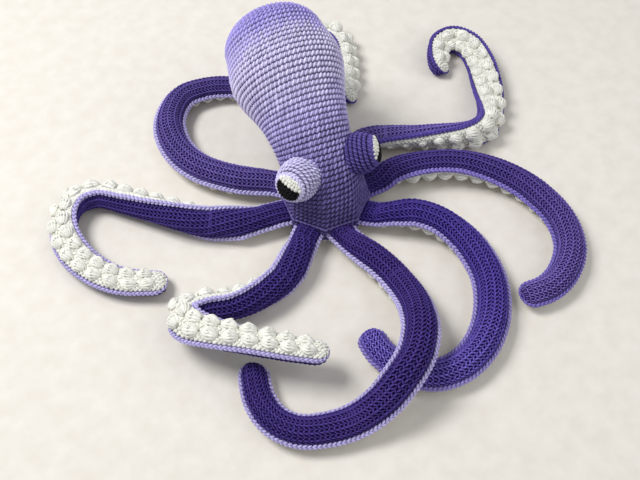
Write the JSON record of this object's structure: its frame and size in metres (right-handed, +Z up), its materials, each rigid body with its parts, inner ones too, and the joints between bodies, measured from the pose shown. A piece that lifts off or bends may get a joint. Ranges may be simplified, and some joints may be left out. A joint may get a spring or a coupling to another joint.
{
  "type": "crocheted octopus toy",
  "caption": "Stuffed crocheted octopus toy with a flopped mantle, cupped eyes and curled arms with white knobbly undersides; it lies flat as a soft toy or decoration.",
  "frame": {"origin": "middle of the flat panel under the head, on the surface that the toy lies on", "axes": "+Z up, -Y the way the face looks, +X to the toy's left"},
  "size_m": [0.5173, 0.4611, 0.1563],
  "materials": {
    "head_purple": "matte crocheted yarn",
    "mantle_lilac": "matte crocheted yarn",
    "dark_arm": "matte crocheted yarn",
    "bright_arm": "matte crocheted yarn",
    "edging_lilac": "matte crocheted yarn",
    "white_yarn": "matte crocheted yarn",
    "black_yarn": "matte crocheted yarn",
    "right_cup": "matte crocheted yarn",
    "left_cup": "matte crocheted yarn",
    "stuffing": "matte polyester fibre"
  },
  "bodies": {
    "head": {"head": "head_purple", "head_stuffing": "stuffing", "mouth_panel": "white_yarn", "eye_stuffing": "stuffing", "right_eye_cup": "right_cup", "right_eye_white": "white_yarn", "right_eye_pupil": "black_yarn", "left_eye_cup": "left_cup", "left_eye_white": "white_yarn", "left_eye_pupil": "black_yarn"},
    "mantle": {"mantle": "mantle_lilac", "mantle_stuffing": "stuffing"},
    "right_arm_1": {"right_arm_1_top": "dark_arm", "right_arm_1_underside": "white_yarn", "right_arm_1_edging": "edging_lilac", "right_arm_1_stuffing": "stuffing"},
    "right_arm_2": {"right_arm_2_top": "dark_arm", "right_arm_2_underside": "white_yarn", "right_arm_2_edging": "edging_lilac", "right_arm_2_stuffing": "stuffing"},
    "right_arm_3": {"right_arm_3_base_top": "dark_arm", "right_arm_3_base_underside": "white_yarn", "right_arm_3_base_edging": "edging_lilac", "right_arm_3_base_stuffing": "stuffing"},
    "right_arm_3_end": {"right_arm_3_end_top": "dark_arm", "right_arm_3_end_underside": "white_yarn", "right_arm_3_end_edging": "edging_lilac", "right_arm_3_end_stuffing": "stuffing"},
    "right_arm_4": {"right_arm_4_base_top": "dark_arm", "right_arm_4_base_underside": "white_yarn", "right_arm_4_base_edging": "edging_lilac", "right_arm_4_base_stuffing": "stuffing"},
    "right_arm_4_end": {"right_arm_4_end_top": "dark_arm", "right_arm_4_end_underside": "white_yarn", "right_arm_4_end_edging": "edging_lilac", "right_arm_4_end_stuffing": "stuffing"},
    "left_arm_1": {"left_arm_1_top": "dark_arm", "left_arm_1_underside": "white_yarn", "left_arm_1_edging": "edging_lilac", "left_arm_1_stuffing": "stuffing"},
    "left_arm_2": {"left_arm_2_base_top": "bright_arm", "left_arm_2_base_underside": "white_yarn", "left_arm_2_base_edging": "edging_lilac", "left_arm_2_base_stuffing": "stuffing"},
    "left_arm_2_end": {"left_arm_2_end_top": "bright_arm", "left_arm_2_end_underside": "white_yarn", "left_arm_2_end_edging": "edging_lilac", "left_arm_2_end_stuffing": "stuffing"},
    "left_arm_3": {"left_arm_3_base_top": "bright_arm", "left_arm_3_base_underside": "white_yarn", "left_arm_3_base_edging": "edging_lilac", "left_arm_3_base_stuffing": "stuffing"},
    "left_arm_3_end": {"left_arm_3_end_top": "bright_arm", "left_arm_3_end_underside": "white_yarn", "left_arm_3_end_edging": "edging_lilac", "left_arm_3_end_stuffing": "stuffing"},
    "left_arm_4": {"left_arm_4_top": "bright_arm", "left_arm_4_underside": "white_yarn", "left_arm_4_edging": "edging_lilac", "left_arm_4_stuffing": "stuffing"}
  },
  "joints": [
    {"name": "right_arm_1_lift", "type": "hinge", "parent": "head", "child": "right_arm_1", "pos_m": [-0.02126, -0.05132, 0.0145], "axis": [-0.9239, 0.3827, 0], "range_deg": [0, 25]},
    {"name": "right_arm_2_lift", "type": "hinge", "parent": "head", "child": "right_arm_2", "pos_m": [-0.05132, -0.02126, 0.0145], "axis": [-0.3827, 0.9239, 0], "range_deg": [0, 25]},
    {"name": "right_arm_3_lift", "type": "hinge", "parent": "head", "child": "right_arm_3", "pos_m": [-0.05132, 0.02126, 0.0145], "axis": [0.3827, 0.9239, 0], "range_deg": [0, 25]},
    {"name": "right_arm_3_curl", "type": "hinge", "parent": "right_arm_3", "child": "right_arm_3_end", "pos_m": [-0.10955, 0.11179, 0], "axis": [0, 0, -1], "range_deg": [0, 30]},
    {"name": "right_arm_4_lift", "type": "hinge", "parent": "head", "child": "right_arm_4", "pos_m": [-0.02126, 0.05132, 0.0145], "axis": [0.9239, 0.3827, 0], "range_deg": [0, 10]},
    {"name": "right_arm_4_curl", "type": "hinge", "parent": "right_arm_4", "child": "right_arm_4_end", "pos_m": [-0.08068, 0.1603, 0], "axis": [0, 0, 1], "range_deg": [0, 30]},
    {"name": "left_arm_1_lift", "type": "hinge", "parent": "head", "child": "left_arm_1", "pos_m": [0.02126, -0.05132, 0.0145], "axis": [-0.9239, -0.3827, 0], "range_deg": [0, 25]},
    {"name": "left_arm_2_lift", "type": "hinge", "parent": "head", "child": "left_arm_2", "pos_m": [0.05132, -0.02126, 0.0145], "axis": [-0.3827, -0.9239, 0], "range_deg": [0, 25]},
    {"name": "left_arm_2_curl", "type": "hinge", "parent": "left_arm_2", "child": "left_arm_2_end", "pos_m": [0.16022, -0.08674, 0], "axis": [0, 0, 1], "range_deg": [0, 30]},
    {"name": "left_arm_3_lift", "type": "hinge", "parent": "head", "child": "left_arm_3", "pos_m": [0.05132, 0.02126, 0.0145], "axis": [0.3827, -0.9239, 0], "range_deg": [0, 25]},
    {"name": "left_arm_3_curl", "type": "hinge", "parent": "left_arm_3", "child": "left_arm_3_end", "pos_m": [0.14915, -0.06231, 0], "axis": [0, 0, -1], "range_deg": [0, 30]},
    {"name": "left_arm_4_lift", "type": "hinge", "parent": "head", "child": "left_arm_4", "pos_m": [0.02126, 0.05132, 0.0145], "axis": [0.9239, -0.3827, 0], "range_deg": [0, 10]},
    {"name": "mantle_raise", "type": "hinge", "parent": "head", "child": "mantle", "pos_m": [0.01333, 0.03217, 0.121], "axis": [0.9239, -0.3827, 0], "range_deg": [0, 30]}
  ],
  "couplings": [
    {"joint": "right_arm_1_lift", "follows": "left_arm_1_lift", "ratio": 1},
    {"joint": "right_arm_2_lift", "follows": "left_arm_1_lift", "ratio": 1}
  ]
}
